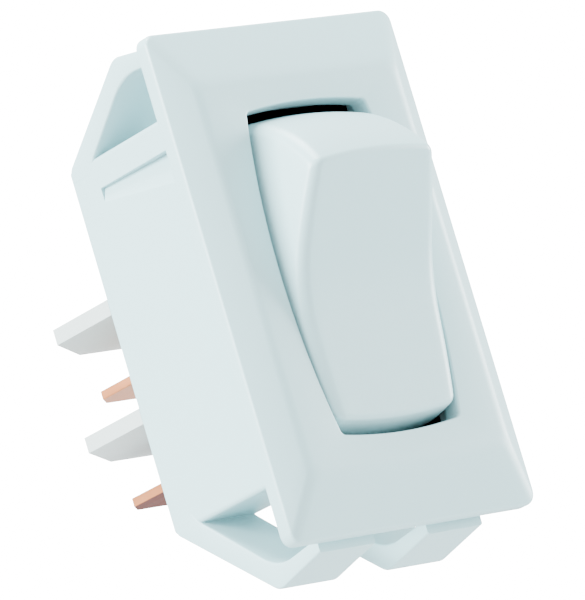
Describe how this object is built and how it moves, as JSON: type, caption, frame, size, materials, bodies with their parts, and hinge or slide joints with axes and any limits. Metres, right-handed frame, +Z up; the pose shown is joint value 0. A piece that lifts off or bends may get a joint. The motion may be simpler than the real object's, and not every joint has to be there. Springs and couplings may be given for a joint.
{
  "type": "rocker wall switch",
  "caption": "Snap-in rocker wall switch: bevelled bezel, concave rocker, box housing with sprung latch straps, barrier fins and flat blade terminals.",
  "frame": {"origin": "middle of the bezel's rear face, in the plane of the panel's front surface", "axes": "+X across the width, to the right seen from the front; +Y into the wall; +Z up the long side"},
  "size_m": [0.027, 0.0428, 0.0483],
  "materials": {
    "white_plastic": "moulded, light satin gloss",
    "nylon": "moulded nylon",
    "copper": "stamped bare copper alloy",
    "silver": "contact silver, satin",
    "steel": "drawn wire"
  },
  "bodies": {
    "body": {"bezel": "white_plastic", "housing": "white_plastic", "terminal_base": "white_plastic", "pivot_pin": "steel", "fulcrum_saddle": "copper", "common_terminal": "copper", "load_terminal": "copper", "fixed_contact": "silver", "common_rivet": "copper", "load_rivet": "copper", "off_stop": "nylon"},
    "rocker": {"rocker": "white_plastic", "plunger_spring": "steel"},
    "plunger": {"plunger": "nylon"},
    "contact": {"contact_rocker": "copper", "moving_contact": "silver"},
    "strap_top_left": {"latch_top_left": "white_plastic"},
    "strap_top_right": {"latch_top_right": "white_plastic"},
    "strap_bottom_left": {"latch_bottom_left": "white_plastic"},
    "strap_bottom_right": {"latch_bottom_right": "white_plastic"}
  },
  "joints": [
    {"name": "rocker_pivot", "type": "hinge", "parent": "body", "child": "rocker", "pos_m": [0, 0.0015, 0], "axis": [1, 0, 0], "range_deg": [-36, 0]},
    {"name": "contact_pivot", "type": "hinge", "parent": "body", "child": "contact", "pos_m": [0, 0.0128, 0], "axis": [1, 0, 0], "range_deg": [0, 14]},
    {"name": "plunger_slide", "type": "slide", "parent": "rocker", "child": "plunger", "axis": [0, -0.9511, -0.309], "range_m": [0, 0.0008], "stiffness_N_per_m": 200, "springref_m": -0.002, "deforming": ["plunger_spring"]},
    {"name": "strap_top_left_flex", "type": "hinge", "parent": "body", "child": "strap_top_left", "pos_m": [0, 0.0152, 0.0169], "axis": [1, 0, 0], "range_deg": [0, 15.5], "stiffness_Nm_per_rad": 0.1},
    {"name": "strap_top_right_flex", "type": "hinge", "parent": "body", "child": "strap_top_right", "pos_m": [0, 0.0152, 0.0169], "axis": [1, 0, 0], "range_deg": [0, 15.5], "stiffness_Nm_per_rad": 0.1},
    {"name": "strap_bottom_left_flex", "type": "hinge", "parent": "body", "child": "strap_bottom_left", "pos_m": [0, 0.0152, -0.0161], "axis": [-1, 0, 0], "range_deg": [0, 19], "stiffness_Nm_per_rad": 0.1},
    {"name": "strap_bottom_right_flex", "type": "hinge", "parent": "body", "child": "strap_bottom_right", "pos_m": [0, 0.0152, -0.0161], "axis": [-1, 0, 0], "range_deg": [0, 19], "stiffness_Nm_per_rad": 0.1}
  ],
  "couplings": [
    {"joint": "contact_pivot", "follows": "rocker_pivot", "ratio": -0.38889}
  ]
}
